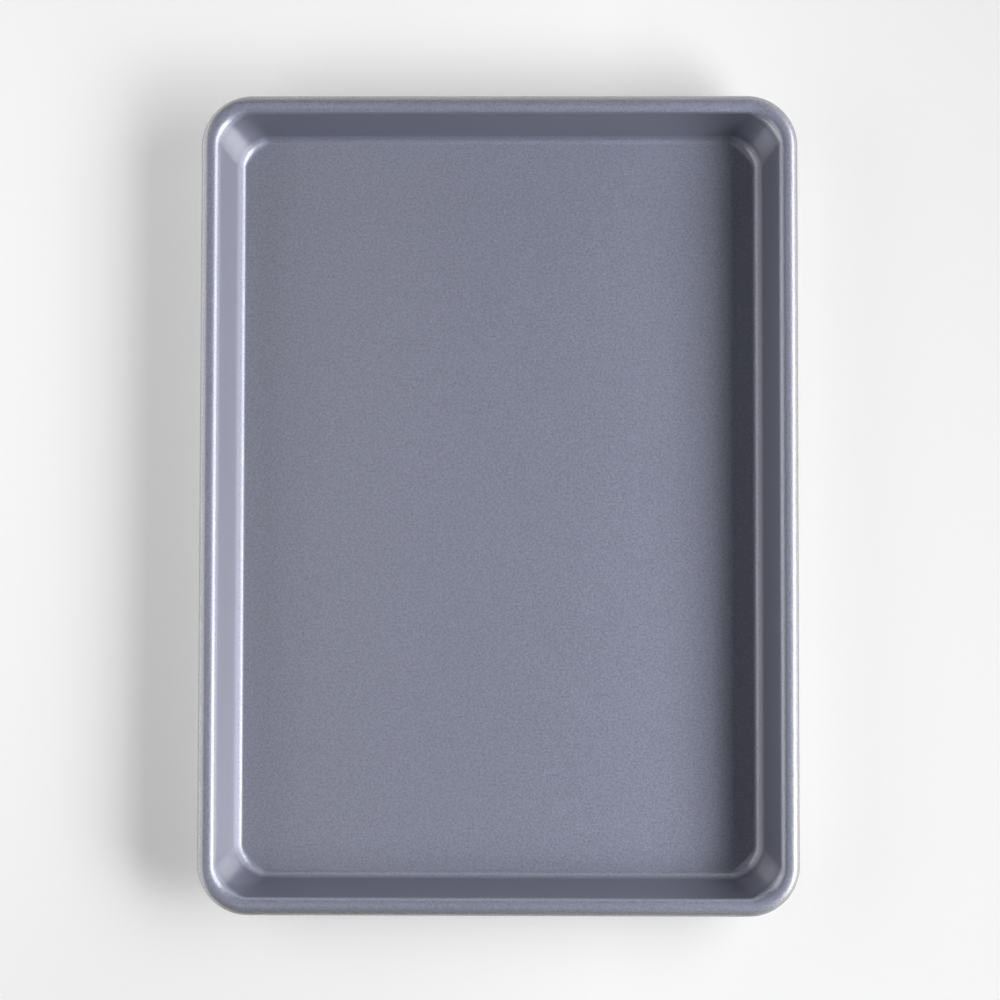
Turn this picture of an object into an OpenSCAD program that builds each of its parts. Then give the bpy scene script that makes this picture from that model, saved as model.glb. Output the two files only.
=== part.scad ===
// Jelly roll pan: one drawn steel sheet whose edge is curled round a reinforcing wire.
// +Z is up, the long side runs along Y, and the origin is the middle of the base on the table.

/* [Pan] */
// Overall width, outside the rim
pan_w = 287; // [220:0.5:340]
// Overall length, outside the rim
pan_l = 393; // [300:0.5:480]
// Overall height, from the table to the crown of the rim
pan_h = 25.4; // [20:0.2:36]
// Thickness of the steel sheet
sheet_t = 0.8; // [0.6:0.05:1.2]

/* [Walls] */
// Lean of the walls, in degrees out from vertical
wall_lean = 19.3; // [12:0.1:26]
// Inside radius of the tight bend at the edge of the floor
floor_bend_r = 2.6; // [2:0.1:4]
// The same radius halfway round a corner, where the sheet is drawn more softly
corner_bend_r = 4.5; // [3:0.1:6]
// Inside radius of the easier bend above it, which sweeps up into the wall
sweep_r = 10; // [7:0.5:14]
// Slope at which the tight bend hands over to the sweep, in degrees
sweep_start = 40; // [30:1:50]
// Plan radius at each corner of the flat floor
floor_corner_r = 11.5; // [8:0.1:16]

/* [Rim] */
// Plan radius at each outside corner of the rim
rim_corner_r = 24.5; // [22:0.5:34]
// Radius of the arch that turns the wall over into the rim
arch_r = 4.95; // [4.4:0.05:7]
// Radius of the arch's lip halfway round a corner, where the sheet is drawn more softly
corner_lip_r = 10; // [6:0.5:12]
// Slope of the arch's inner side at which its lip starts, in degrees
lip_start = 38; // [30:1:50]
// Angle past the crown at which the arch hands over to the curl, in degrees
arch_end = 51; // [35:1:60]
// Angle past the crown at which the curled edge stops, in degrees
curl_end = 280; // [240:1:300]

/* [Wire] */
// Diameter of the reinforcing wire inside the curl
wire_d = 4; // [3:0.1:5]
// Clearance all round the wire
wire_clearance = 0.12; // [0.1:0.01:0.2]
// Gap between the two ends of the wire, where its loop closes
wire_joint_gap = 0.6; // [0.2:0.1:2]

/* [Smoothness] */
// Flats in a quarter turn of each corner, seen in plan
corner_steps = 12; // [8:1:16]
// Largest turn between two rows of points round a bend, in degrees
bend_step = 15; // [12:1:20]

/* [Hidden] */
quarter = 90;
half_turn = 180;
curve_fn = 96;

// A place on the cross-section is [inset, height, pivot]. The inset runs inwards from the outermost
// edge of the rim. The pivot says whose centre of curvature the place turns about at the corners.
about_floor_corner = 0;
about_rim_corner = 1;

curl_r = wire_d / 2 + wire_clearance + sheet_t;
curl_inset = curl_r;
curl_z = pan_h - arch_r + (arch_r - curl_r) * cos(arch_end);
arch_inset = curl_inset + (arch_r - curl_r) * sin(arch_end);
arch_z = pan_h - arch_r;
floor_edge_inset = sheet_face(0, 0)[0][0];
pivot_insets = [floor_edge_inset + floor_corner_r, rim_corner_r];

// Angles through a list of stops, each reached exactly, in equal steps no larger than bend_step.
function turns(stops) = concat(stops[0], [
    for (k = [1 : len(stops) - 1])
        let (from = stops[k - 1], span = abs(stops[k] - from), steps = ceil(span / bend_step))
        for (i = [1 : steps]) from + (stops[k] - from) * i / steps
]);

function reversed(list) = [for (i = [len(list) - 1 : -1 : 0]) list[i]];

// Places along an arc of the cross-section. Each turn is an angle past straight up, outwards.
function arc(inset, height, r, turns, pivot) =
    [for (turn = turns) [inset - r * sin(turn), height + r * cos(turn), pivot]];

// One face of the sheet from the edge of the flat floor to the end of the curl, at a depth below
// the inside face. The ease is 0 along the sides and 1 halfway round a corner.
function sheet_face(depth, ease) =
    let (
        bend_r = floor_bend_r + (corner_bend_r - floor_bend_r) * ease,
        lip_r = arch_r + (corner_lip_r - arch_r) * ease,
        lip_inset = arch_inset - (lip_r - arch_r) * sin(lip_start),
        lip_z = arch_z - (lip_r - arch_r) * cos(lip_start),
        bend_z = sheet_t + bend_r,
        sweep_z = bend_z + (sweep_r - bend_r) * cos(sweep_start),
        wall_top_z = lip_z + lip_r * sin(wall_lean),
        wall_foot_z = sweep_z - sweep_r * sin(wall_lean),
        wall_run = (wall_top_z - wall_foot_z) * tan(wall_lean),
        sweep_inset = lip_inset + (lip_r + sweep_r) * cos(wall_lean) + wall_run,
        bend_inset = sweep_inset - (sweep_r - bend_r) * sin(sweep_start),
        bend_turns = turns([half_turn, half_turn - sweep_start]),
        sweep_turns = turns([half_turn - sweep_start, quarter + wall_lean]),
        lip_turns = turns([wall_lean - quarter, -lip_start]),
        arch_turns = turns([-lip_start, 0, arch_end]),
        curl_turns = turns([arch_end, quarter, curl_end])
    )
    concat(
        arc(bend_inset, bend_z, bend_r + depth, bend_turns, about_floor_corner),
        arc(sweep_inset, sweep_z, sweep_r + depth, after_first(sweep_turns), about_floor_corner),
        arc(lip_inset, lip_z, lip_r - depth, lip_turns, about_rim_corner),
        arc(arch_inset, arch_z, arch_r - depth, after_first(arch_turns), about_rim_corner),
        arc(curl_inset, curl_z, curl_r - depth, after_first(curl_turns), about_rim_corner)
    );

function after_first(list) = [for (i = [1 : len(list) - 1]) list[i]];

// How far the softer section of the corners applies at a share of the way round one.
function ease_at(share) = 1 - pow(cos(half_turn * share), 4);

// One row of points round the pan: a rectangle with round corners, through one place of the
// section at each step round a corner.
function row_round_pan(places) =
    let (
        pivot_inset = pivot_insets[places[0][2]],
        x = pan_w / 2 - pivot_inset,
        y = pan_l / 2 - pivot_inset,
        middles = [[x, y], [-x, y], [-x, -y], [x, -y]]
    )
    [
        for (corner = [0 : 3], step = [0 : corner_steps])
            let (turn = quarter * (corner + step / corner_steps), r = pivot_inset - places[step][0])
            [middles[corner][0] + r * cos(turn), middles[corner][1] + r * sin(turn), places[step][1]]
    ];

// The rows round the pan for one face of the sheet, from the floor to the end of the curl.
function rows_round_pan(depth) =
    let (faces = [for (step = [0 : corner_steps]) sheet_face(depth, ease_at(step / corner_steps))])
    [for (k = [0 : len(faces[0]) - 1]) row_round_pan([for (face = faces) face[k]])];

// A skin over rows of points, closed round each row and from the last row back to the first.
module closed_skin(rows) {
    row_count = len(rows);
    points_in_row = len(rows[0]);
    faces = [
        for (row = [0 : row_count - 1], i = [0 : points_in_row - 1])
            let (
                next_row = (row + 1) % row_count,
                next_i = (i + 1) % points_in_row,
                a = row * points_in_row + i,
                b = row * points_in_row + next_i,
                c = next_row * points_in_row + next_i,
                d = next_row * points_in_row + i
            )
            each [[a, b, c], [a, c, d]]
    ];
    polyhedron(points = [for (row = rows) each row], faces = faces, convexity = 8);
}

module floor_sheet() {
    floor_outline = [for (p = rows_round_pan(0)[0]) [p[0], p[1]]];
    linear_extrude(sheet_t) polygon(floor_outline);
}

module wall_and_rim_sheet() {
    closed_skin(concat(rows_round_pan(0), reversed(rows_round_pan(sheet_t))));
}

module pan_shell() {
    color("slategray") union() {
        floor_sheet();
        wall_and_rim_sheet();
    }
}

module wire_straight(length) {
    cylinder(d = wire_d, h = length, center = true, $fn = curve_fn);
}

module wire_corner() {
    rotate_extrude(angle = quarter, $fn = curve_fn)
        translate([rim_corner_r - curl_inset, 0]) circle(d = wire_d, $fn = curve_fn);
}

// One length of wire bent into a loop, butted at the middle of the side towards -X.
module rim_wire() {
    straight_x = pan_w - 2 * rim_corner_r;
    straight_y = pan_l - 2 * rim_corner_r;
    side_x = pan_w / 2 - curl_inset;
    side_y = pan_l / 2 - curl_inset;
    split_y = (straight_y - wire_joint_gap) / 2;
    color("silver") translate([0, 0, curl_z]) union() {
        for (corner = [0 : 3])
            let (mark = [[1, 1], [-1, 1], [-1, -1], [1, -1]][corner])
            translate([mark[0] * straight_x / 2, mark[1] * straight_y / 2, 0])
                rotate(quarter * corner) wire_corner();
        for (end = [-1, 1])
            translate([0, end * side_y, 0]) rotate([0, quarter, 0]) wire_straight(straight_x);
        translate([side_x, 0, 0]) rotate([quarter, 0, 0]) wire_straight(straight_y);
        for (end = [-1, 1])
            translate([-side_x, end * (split_y + wire_joint_gap) / 2, 0])
                rotate([quarter, 0, 0]) wire_straight(split_y);
    }
}

pan_shell();
rim_wire();
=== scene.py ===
"""Looks of the jelly roll pan: its coated sheet as a smooth mesh, its wire, a pale table and the light."""

from collections import namedtuple
from math import ceil, cos, pi, radians, sin, tan

import bpy
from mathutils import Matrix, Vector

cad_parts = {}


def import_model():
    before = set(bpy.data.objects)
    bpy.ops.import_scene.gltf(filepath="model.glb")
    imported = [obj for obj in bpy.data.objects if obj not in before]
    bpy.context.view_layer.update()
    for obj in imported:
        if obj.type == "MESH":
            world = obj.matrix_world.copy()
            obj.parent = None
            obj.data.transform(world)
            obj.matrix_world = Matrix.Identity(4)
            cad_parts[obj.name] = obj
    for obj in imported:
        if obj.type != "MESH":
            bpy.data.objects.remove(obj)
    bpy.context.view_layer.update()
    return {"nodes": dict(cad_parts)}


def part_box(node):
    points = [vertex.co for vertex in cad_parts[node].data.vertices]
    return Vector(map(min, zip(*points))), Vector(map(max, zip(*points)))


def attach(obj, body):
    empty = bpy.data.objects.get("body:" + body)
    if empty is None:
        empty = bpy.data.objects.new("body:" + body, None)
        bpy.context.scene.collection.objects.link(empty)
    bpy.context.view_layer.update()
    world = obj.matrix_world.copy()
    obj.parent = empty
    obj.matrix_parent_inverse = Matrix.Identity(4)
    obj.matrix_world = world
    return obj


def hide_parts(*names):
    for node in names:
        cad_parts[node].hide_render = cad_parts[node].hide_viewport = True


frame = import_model()
shell_low, shell_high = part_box("pan_shell")

# The pan's section, in metres. Its overall sizes come from the frame. CORNER_BEND and CORNER_LIP are
# the softer bends halfway round a corner.
PAN_W = shell_high.x - shell_low.x
PAN_L = shell_high.y - shell_low.y
PAN_H = shell_high.z
SHEET = 0.0008
WALL_LEAN = radians(19.3)
FLOOR_BEND = 0.0026
CORNER_BEND = 0.0045
SWEEP = 0.010
SWEEP_START = radians(40)
FLOOR_CORNER = 0.0115
RIM_CORNER = 0.0245
ARCH = 0.00495
CORNER_LIP = 0.010
LIP_START = radians(38)
ARCH_END = radians(51)
CURL_END = radians(280)
WIRE = 0.004
WIRE_CLEARANCE = 0.00012

QUARTER = pi / 2
CURL = WIRE / 2 + WIRE_CLEARANCE + SHEET
CURL_Z = PAN_H - ARCH + (ARCH - CURL) * cos(ARCH_END)
ARCH_INSET = CURL + (ARCH - CURL) * sin(ARCH_END)
ARCH_Z = PAN_H - ARCH

# A place on the section: how far it lies in from the rim's outermost edge, its height, its pivot, how
# smooth its coating is, and how much painted grey sheen its flakes take. The pivot says whose centre of
# curvature the place turns about at the corners, and changes evenly up the wall.
Place = namedtuple("Place", "inset height pivot drawn greyed")
ABOUT_FLOOR_CORNER = 0
ABOUT_RIM_CORNER = 1

# How finely the sheet is drawn: the largest turn between two rows round a bend, the steps round a corner
# and the rows up a wall. ROUNDING keeps a whole number of turns whole, and a narrow flat ring round the
# floor, FLOOR_MARGIN wide, keeps the floor's shading level.
TURN_STEP = radians(3)
ROUNDING = 1e-6
CORNER_STEPS = 32
WALL_ROWS = 6
FLOOR_MARGIN = 0.0006
# How fast the softer section of a corner takes over from that of the sides: a higher power is faster.
EASE_POWER = 4

# The slopes between which the coating goes from grained to smooth, and the angles past the rim's crown
# between which its flakes turn greyer: painted sheen, so that the reflections on the rim's outer side
# read neutral.
POLISHED = (radians(42), radians(64))
SHEEN_GREY_ANGLES = (radians(8), radians(34))

# The coating. A pair is for the grained flats, then for the smooth drawn walls. On the outer side of the
# rim the flakes are painted greyer as sheen, so that the reflections there read neutral.
FLAKE_COLOUR = ((0.415, 0.435, 0.563, 1), (0.424, 0.440, 0.548, 1))
SHEEN_GREY_COLOUR = (0.440, 0.444, 0.470, 1)
FLAKE_METAL = (0.75, 0.85)
FLAKE_ROUGH = (0.70, 0.50)
GLOSS_COLOUR = (0.488, 0.478, 0.458, 1)
GLOSS_ROUGH = (0.30, 0.14)
GLOSS_SHARE = (0.25, 0.50)

# The grain of the coated flats: its spots per metre, its depth, and how far the flakes' tone varies.
GRAIN_SCALE = 1000
GRAIN_DETAIL = 1
GRAIN_DEPTH = 0.00006
FLAKE_TONE = (0.62, 1.38)
# Broad soft patches in which the finish is a little duller or glossier.
PATCH_SCALE = 28
PATCH_DETAIL = 3
PATCH_ROUGH = (-0.035, 0.035)

# The wire: its colour, its marks per metre, how far they change its tone and roughness, and its grain.
WIRE_COLOUR = (0.56, 0.56, 0.58)
WIRE_MARKS = 300
WIRE_TONE = (0.85, 1.12)
WIRE_TONE_DETAIL = 4
WIRE_ROUGH = (0.25, 0.45)
WIRE_ROUGH_DETAIL = 2
WIRE_GRAIN_SCALE = 4 * WIRE_MARKS
WIRE_GRAIN_DEPTH = 0.00002

# The table: half its sides, how far it lies below the pan's base, and its paper's colour and fibres.
TABLE_HALF = (0.54, 0.70)
TABLE_DROP = 0.00002
PAPER = 0.80
FIBRE_SCALE = 700
FIBRE_DETAIL = 3
FIBRE_TONE = (0.985, 1.015)
# The paper's glow evens out the light's falloff. It is a sum of one part for each axis of the table,
# given as two places on the axis and the level at each.
GLOW = {"X": ((0.05, 0.24), (0.232, 0.012)), "Y": ((-0.22, 0.22), (-0.01, 0.05))}

# The world's level: the dim surround that reaches the pan, and the pale backdrop that the camera sees.
SURROUND = 0.01
BACKDROP = 0.88
WHITE = (1, 1, 1, 1)

# How far from the pan's middle the upright lamps stand on each side. North is +Y.
LAMP_DISTANCE = {"east": 0.90, "north": 0.80, "west": 0.55}
# The heights of the window's brighter parts, and the stretch that both lamps to the north take up.
BRIGHT_HEIGHTS = (0.364, 0.703)
FAR_STRETCH = (-0.35, 0.88)

# The camera, fitted to the photograph's keystone. Its lens and sensor are in millimetres.
CAMERA_PLACE = (0.0111, -0.0377, 1.070)
CAMERA_TURN = (radians(2.146), radians(0.568), radians(0.096))
CAMERA_LENS = 78.82
CAMERA_REACH = 20
SENSOR = 36.0


def turns(*stops):
    """Angles through each stop, in equal steps of at most TURN_STEP."""
    angles = [stops[0]]
    for start, end in zip(stops, stops[1:]):
        steps = ceil(abs(end - start) / TURN_STEP - ROUNDING)
        angles += [start + (end - start) * i / steps for i in range(1, steps + 1)]
    return angles


def ramp(value, ends):
    """0 up to the first end, 1 from the second, and even between them."""
    start, full = ends
    return min(1.0, max(0.0, (value - start) / (full - start)))


def arc(inset, height, r, angles, pivot):
    """Places along an arc of the section, each at an angle past straight up, outwards."""
    places = []
    for angle in angles:
        # The curl is smooth all round, whatever its slope.
        in_curl = pivot == ABOUT_RIM_CORNER and angle >= ARCH_END
        drawn = ramp(QUARTER if in_curl else min(abs(angle), pi - angle), POLISHED)
        # Past the crown, the rim's outer side takes painted grey sheen, so its reflections read neutral.
        greyed = ramp(angle, SHEEN_GREY_ANGLES) if pivot == ABOUT_RIM_CORNER else 0.0
        places.append(Place(inset - r * sin(angle), height + r * cos(angle), pivot, drawn, greyed))
    return places


def sheet_face(depth, ease):
    """One face of the sheet, from the edge of the flat floor to the curl's end, at a depth below the
    inside face. The ease is 0 along the sides and 1 halfway round a corner, where the bends are softer."""
    bend = FLOOR_BEND + (CORNER_BEND - FLOOR_BEND) * ease
    lip = ARCH + (CORNER_LIP - ARCH) * ease
    lip_inset = ARCH_INSET - (lip - ARCH) * sin(LIP_START)
    lip_z = ARCH_Z - (lip - ARCH) * cos(LIP_START)
    sweep_z = SHEET + bend + (SWEEP - bend) * cos(SWEEP_START)
    wall_rise = lip_z - sweep_z + (lip + SWEEP) * sin(WALL_LEAN)
    sweep_inset = lip_inset + (lip + SWEEP) * cos(WALL_LEAN) + wall_rise * tan(WALL_LEAN)
    bend_inset = sweep_inset - (SWEEP - bend) * sin(SWEEP_START)
    bend_turns = turns(pi, pi - SWEEP_START)
    sweep_turns = turns(pi - SWEEP_START, QUARTER + WALL_LEAN)
    lip_turns = turns(WALL_LEAN - QUARTER, -LIP_START)
    arch_turns = turns(-LIP_START, 0, ARCH_END)
    curl_turns = turns(ARCH_END, QUARTER, CURL_END)
    places = [Place(bend_inset + FLOOR_MARGIN, SHEET - depth, ABOUT_FLOOR_CORNER, 0.0, 0.0)]
    places += arc(bend_inset, SHEET + bend, bend + depth, bend_turns, ABOUT_FLOOR_CORNER)
    places += arc(sweep_inset, sweep_z, SWEEP + depth, sweep_turns[1:], ABOUT_FLOOR_CORNER)
    lip_places = arc(lip_inset, lip_z, lip - depth, lip_turns, ABOUT_RIM_CORNER)
    foot, top = places[-1], lip_places[0]
    for k in range(1, WALL_ROWS):
        places.append(Place(*(a + (b - a) * k / WALL_ROWS for a, b in zip(foot, top))))
    places += lip_places
    places += arc(ARCH_INSET, ARCH_Z, ARCH - depth, arch_turns[1:], ABOUT_RIM_CORNER)
    places += arc(CURL, CURL_Z, CURL - depth, curl_turns[1:], ABOUT_RIM_CORNER)
    return places


def ease_at(share):
    """How far the softer section of the corners applies at a share of the way round one."""
    return 1 - cos(pi * share) ** EASE_POWER


def rows_round_pan(depth):
    """Rows of points round the pan for one face of the sheet, each with how drawn it is and how much
    painted grey sheen it takes.
    """
    faces = [sheet_face(depth, ease_at(step / CORNER_STEPS)) for step in range(CORNER_STEPS + 1)]
    bend_start = sheet_face(0, 0)[1]
    floor_inset = bend_start.inset + FLOOR_CORNER
    rows = []
    for places in zip(*faces):
        along_side = places[0]
        pivot_inset = floor_inset + (RIM_CORNER - floor_inset) * along_side.pivot
        x = PAN_W / 2 - pivot_inset
        y = PAN_L / 2 - pivot_inset
        points = []
        for corner, (middle_x, middle_y) in enumerate(((x, y), (-x, y), (-x, -y), (x, -y))):
            for step, place in enumerate(places):
                turn = QUARTER * (corner + step / CORNER_STEPS)
                r = pivot_inset - place.inset
                points.append((middle_x + r * cos(turn), middle_y + r * sin(turn), place.height))
        rows.append((points, along_side.drawn, along_side.greyed))
    return rows


def pan_mesh():
    """The sheet as one closed skin: the inside face out to the curl's edge, then the under face back."""
    rows = rows_round_pan(0) + rows_round_pan(SHEET)[::-1]
    count = len(rows[0][0])
    verts = [point for row in rows for point in row[0]]
    faces = []
    for row in range(len(rows) - 1):
        for i in range(count):
            j = (i + 1) % count
            faces.append((row * count + i, row * count + j, (row + 1) * count + j, (row + 1) * count + i))
    last = (len(rows) - 1) * count
    faces.append(tuple(range(count))[::-1])
    faces.append(tuple(last + i for i in range(count)))
    mesh = bpy.data.meshes.new("pan_sheet")
    mesh.from_pydata(verts, [], faces)
    # Each point keeps how drawn it is and how much painted grey sheen it takes.
    for k, name in enumerate(("drawn", "greyed"), start=1):
        values = mesh.attributes.new(name, "FLOAT", "POINT")
        values.data.foreach_set("value", [row[k] for row in rows for _ in range(count)])
    mesh.polygons.foreach_set("use_smooth", [True] * len(mesh.polygons))
    mesh.update()
    return mesh


def new_object(name, data):
    """A new object in the scene."""
    obj = bpy.data.objects.new(name, data)
    bpy.context.scene.collection.objects.link(obj)
    return obj


def new_material(name):
    material = bpy.data.materials.new(name)
    material.use_nodes = True
    nodes = material.node_tree.nodes
    nodes.clear()
    return material, nodes, material.node_tree.links


def feed(links, value, socket):
    """Gives a socket a written value, or links another socket to it."""
    if isinstance(value, bpy.types.NodeSocket):
        links.new(value, socket)
    else:
        socket.default_value = value


def ranged(nodes, links, value, ends, span=(0, 1)):
    """A value mapped from a span to two ends."""
    node = nodes.new("ShaderNodeMapRange")
    node.inputs["From Min"].default_value, node.inputs["From Max"].default_value = span
    node.inputs["To Min"].default_value, node.inputs["To Max"].default_value = ends
    links.new(value, node.inputs["Value"])
    return node.outputs["Result"]


def noise(nodes, links, scale, detail, ends):
    """A noise over the object's own coordinates, ranged between two ends."""
    place = nodes.new("ShaderNodeTexCoord")
    texture = nodes.new("ShaderNodeTexNoise")
    texture.inputs["Scale"].default_value = scale
    texture.inputs["Detail"].default_value = detail
    links.new(place.outputs["Object"], texture.inputs["Vector"])
    return ranged(nodes, links, texture.outputs["Fac"], ends)


def combined(nodes, links, operation, first, second):
    """The result of an operation on two values, each a number or a socket."""
    node = nodes.new("ShaderNodeMath")
    node.operation = operation
    feed(links, first, node.inputs[0])
    feed(links, second, node.inputs[1])
    return node.outputs[0]


def tinted(nodes, links, colour, tone):
    """A colour made darker or lighter by a tone."""
    node = nodes.new("ShaderNodeVectorMath")
    node.operation = "SCALE"
    feed(links, colour, node.inputs[0])
    links.new(tone, node.inputs["Scale"])
    return node.outputs[0]


def point_value(nodes, name):
    """The value of one of the mesh's point attributes."""
    node = nodes.new("ShaderNodeAttribute")
    node.attribute_name = name
    return node.outputs["Fac"]


def blend(nodes, links, factor, first, second):
    """A mix of two colours, each a written colour or a socket."""
    node = nodes.new("ShaderNodeMix")
    node.data_type = "RGBA"
    links.new(factor, node.inputs["Factor"])
    sockets = [socket for socket in node.inputs if socket.type == "RGBA"]
    for socket, colour in zip(sockets, (first, second)):
        feed(links, colour, socket)
    return next(socket for socket in node.outputs if socket.type == "RGBA")


def grain(nodes, links, scale, strength, depth):
    """A bump of fine noise, at a strength that is a number or a socket."""
    node = nodes.new("ShaderNodeBump")
    node.inputs["Distance"].default_value = depth
    links.new(noise(nodes, links, scale, GRAIN_DETAIL, (0, 1)), node.inputs["Height"])
    feed(links, strength, node.inputs["Strength"])
    return node.outputs["Normal"]


def coating():
    """Slate metallic non-stick coating: rough blue-grey flakes mixed with a tighter, neutral gloss.

    Flats keep the coating's grain, and the drawn walls are smoother. On the rim's outer side the flakes
    are painted greyer, a sheen that makes the reflections there read neutral.
    """
    material, nodes, links = new_material("nonstick_coating")
    output = nodes.new("ShaderNodeOutputMaterial")
    drawn = point_value(nodes, "drawn")
    flat = ranged(nodes, links, drawn, (1, 0))
    normal = grain(nodes, links, GRAIN_SCALE, flat, GRAIN_DEPTH)
    flecks = noise(nodes, links, GRAIN_SCALE, GRAIN_DETAIL, (FLAKE_TONE[0] - 1, FLAKE_TONE[1] - 1))
    tone = combined(nodes, links, "ADD", combined(nodes, links, "MULTIPLY", flecks, flat), 1.0)
    patches = noise(nodes, links, PATCH_SCALE, PATCH_DETAIL, PATCH_ROUGH)
    colour = blend(nodes, links, drawn, *FLAKE_COLOUR)
    # Painted sheen: the flakes turn greyer on the rim's outer side, so its reflections read neutral.
    colour = blend(nodes, links, point_value(nodes, "greyed"), colour, SHEEN_GREY_COLOUR)
    flakes = nodes.new("ShaderNodeBsdfPrincipled")
    links.new(tinted(nodes, links, colour, tone), flakes.inputs["Base Color"])
    links.new(ranged(nodes, links, drawn, FLAKE_METAL), flakes.inputs["Metallic"])
    gloss = nodes.new("ShaderNodeBsdfPrincipled")
    gloss.inputs["Base Color"].default_value = GLOSS_COLOUR
    gloss.inputs["Metallic"].default_value = 1.0
    mix = nodes.new("ShaderNodeMixShader")
    links.new(ranged(nodes, links, drawn, GLOSS_SHARE), mix.inputs["Fac"])
    for slot, (shader, rough) in enumerate(((flakes, FLAKE_ROUGH), (gloss, GLOSS_ROUGH)), start=1):
        roughness = combined(nodes, links, "ADD", ranged(nodes, links, drawn, rough), patches)
        links.new(roughness, shader.inputs["Roughness"])
        links.new(normal, shader.inputs["Normal"])
        links.new(shader.outputs["BSDF"], mix.inputs[slot])
    links.new(mix.outputs[0], output.inputs["Surface"])
    return material


def wire_steel():
    """Plain drawn wire: bright grey with fine marks and duller spots."""
    material, nodes, links = new_material("steel_wire")
    output = nodes.new("ShaderNodeOutputMaterial")
    shader = nodes.new("ShaderNodeBsdfPrincipled")
    shader.inputs["Metallic"].default_value = 1.0
    tone = noise(nodes, links, WIRE_MARKS, WIRE_TONE_DETAIL, WIRE_TONE)
    roughness = noise(nodes, links, WIRE_MARKS, WIRE_ROUGH_DETAIL, WIRE_ROUGH)
    normal = grain(nodes, links, WIRE_GRAIN_SCALE, 1.0, WIRE_GRAIN_DEPTH)
    links.new(tinted(nodes, links, WIRE_COLOUR, tone), shader.inputs["Base Color"])
    links.new(roughness, shader.inputs["Roughness"])
    links.new(normal, shader.inputs["Normal"])
    links.new(shader.outputs["BSDF"], output.inputs["Surface"])
    return material


def glow_seen(nodes, links):
    """1 for the rays that see the paper's glow, which are camera, glossy and transmission rays, and 0
    for the rest."""
    path = nodes.new("ShaderNodeLightPath")
    seen = path.outputs["Is Camera Ray"]
    for kind in ("Is Glossy Ray", "Is Transmission Ray"):
        seen = combined(nodes, links, "MAXIMUM", seen, path.outputs[kind])
    return seen


def paper():
    """Pale matt paper with faint fibres and a glow."""
    material, nodes, links = new_material("table_paper")
    output = nodes.new("ShaderNodeOutputMaterial")
    add = nodes.new("ShaderNodeAddShader")
    diffuse = nodes.new("ShaderNodeBsdfDiffuse")
    fibres = noise(nodes, links, FIBRE_SCALE, FIBRE_DETAIL, FIBRE_TONE)
    links.new(tinted(nodes, links, (PAPER,) * 3, fibres), diffuse.inputs["Color"])
    glow = nodes.new("ShaderNodeEmission")
    glow.inputs["Color"].default_value = WHITE
    place = nodes.new("ShaderNodeTexCoord")
    split = nodes.new("ShaderNodeSeparateXYZ")
    links.new(place.outputs["Object"], split.inputs[0])
    parts = []
    for axis, (span, levels) in GLOW.items():
        parts.append(ranged(nodes, links, split.outputs[axis], levels, span))
    level = combined(nodes, links, "ADD", *parts)
    strength = combined(nodes, links, "MULTIPLY", level, glow_seen(nodes, links))
    links.new(strength, glow.inputs["Strength"])
    links.new(diffuse.outputs[0], add.inputs[0])
    links.new(glow.outputs[0], add.inputs[1])
    links.new(add.outputs[0], output.inputs["Surface"])
    return material


def table():
    mesh = bpy.data.meshes.new("table")
    x, y = TABLE_HALF
    mesh.from_pydata([(-x, -y, 0), (x, -y, 0), (x, y, 0), (-x, y, 0)], [], [(0, 1, 2, 3)])
    obj = new_object("table", mesh)
    obj.data.materials.append(paper())
    obj.location.z = -TABLE_DROP


def lamp(name, width, length, radiance):
    """A rectangular light of an even radiance, which shines straight down until it is turned."""
    data = bpy.data.lights.new(name, "AREA")
    data.shape = "RECTANGLE"
    data.size = width
    data.size_y = length
    data.energy = radiance * pi * data.size * data.size_y
    return new_object(name, data)


def softbox(name, side, along, heights, radiance):
    """An upright lamp that faces the pan from one side, between two places along that side and two
    heights."""
    obj = lamp(name, along[1] - along[0], heights[1] - heights[0], radiance)
    middle = sum(along) / 2
    distance = LAMP_DISTANCE[side]
    place, turn = {
        "east": ((distance, middle), QUARTER),
        "north": ((middle, distance), pi),
        "west": ((-distance, middle), -QUARTER),
    }[side]
    obj.location = (*place, sum(heights) / 2)
    obj.rotation_euler = (QUARTER, 0, turn)


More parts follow.
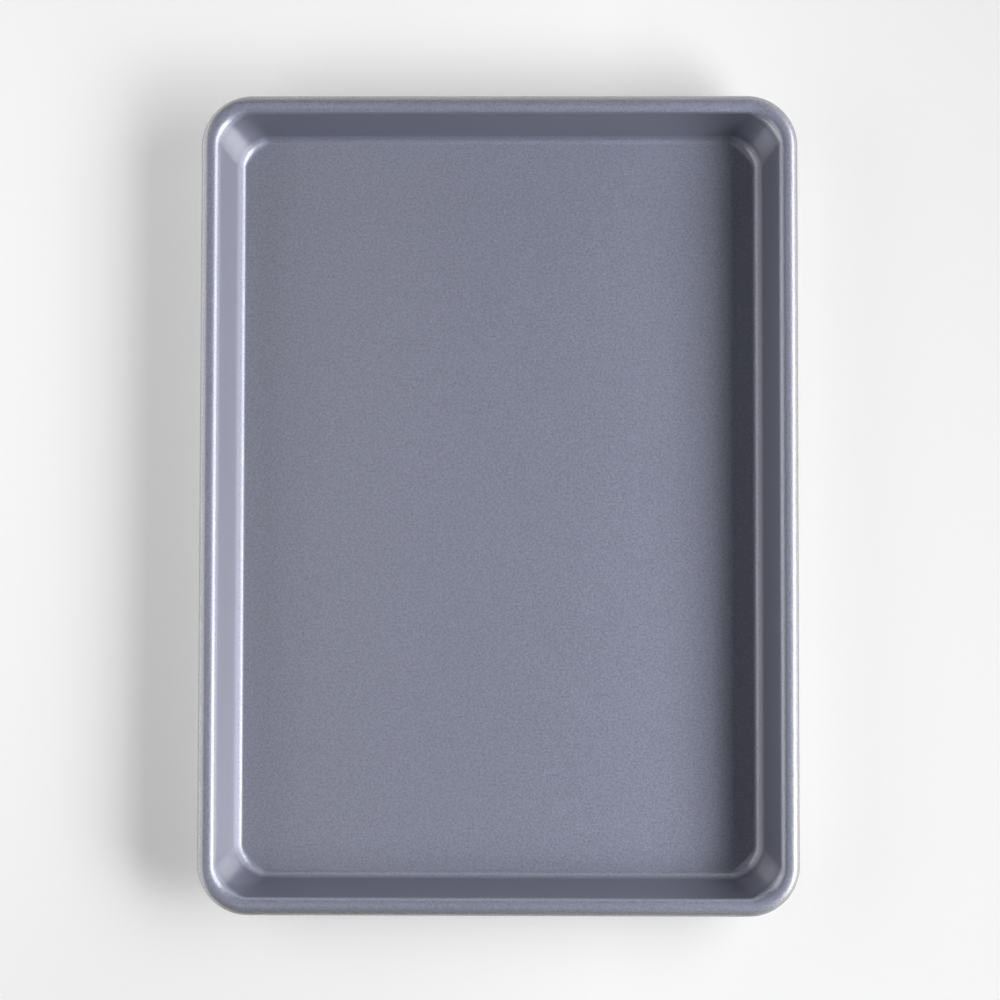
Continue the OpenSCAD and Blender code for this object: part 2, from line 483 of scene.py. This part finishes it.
def overhead(name, height, across, along, radiance):
    """A level lamp that shines straight down."""
    obj = lamp(name, across[1] - across[0], along[1] - along[0], radiance)
    obj.location = (sum(across) / 2, sum(along) / 2, height)


def world():
    made = bpy.data.worlds.new("studio")
    bpy.context.scene.world = made
    made.use_nodes = True
    nodes, links = made.node_tree.nodes, made.node_tree.links
    nodes.clear()
    output = nodes.new("ShaderNodeOutputWorld")
    background = nodes.new("ShaderNodeBackground")
    background.inputs["Color"].default_value = WHITE
    path = nodes.new("ShaderNodeLightPath")
    level = ranged(nodes, links, path.outputs["Is Camera Ray"], (SURROUND, BACKDROP))
    links.new(level, background.inputs["Strength"])
    links.new(background.outputs[0], output.inputs["Surface"])


def camera():
    data = bpy.data.cameras.new("camera")
    data.lens = CAMERA_LENS
    data.sensor_width = SENSOR
    data.clip_end = CAMERA_REACH
    obj = new_object("camera", data)
    obj.location = CAMERA_PLACE
    obj.rotation_euler = CAMERA_TURN
    bpy.context.scene.camera = obj


pan = new_object("pan_sheet", pan_mesh())
pan.data.materials.append(coating())
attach(pan, "root")
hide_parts("pan_shell")

wire = frame["nodes"]["rim_wire"]
wire.data.materials.clear()
wire.data.materials.append(wire_steel())

table()
softbox("window", "east", along=(-0.810, 0.654), heights=(0.292, 0.869), radiance=5.85)
softbox("window_bright", "east", along=(-0.810, 0.031), heights=BRIGHT_HEIGHTS, radiance=4.1)
softbox("window_core", "east", along=(-0.630, -0.208), heights=BRIGHT_HEIGHTS, radiance=8.0)
softbox("left_card", "west", along=(-0.423, 0.423), heights=(0.135, 0.440), radiance=1.9)
softbox("left_sill", "west", along=(-1.10, 1.10), heights=(0.008, 0.068), radiance=4.6)
softbox("far_sill", "north", along=FAR_STRETCH, heights=(0.009, 0.107), radiance=1.7)
softbox("far_card", "north", along=FAR_STRETCH, heights=(0.107, 0.373), radiance=0.7)
overhead("ceiling", height=1.70, across=(-0.65, -0.20), along=(-0.90, 0.90), radiance=0.60)
world()
camera()
bpy.context.scene.view_settings.view_transform = "Standard"
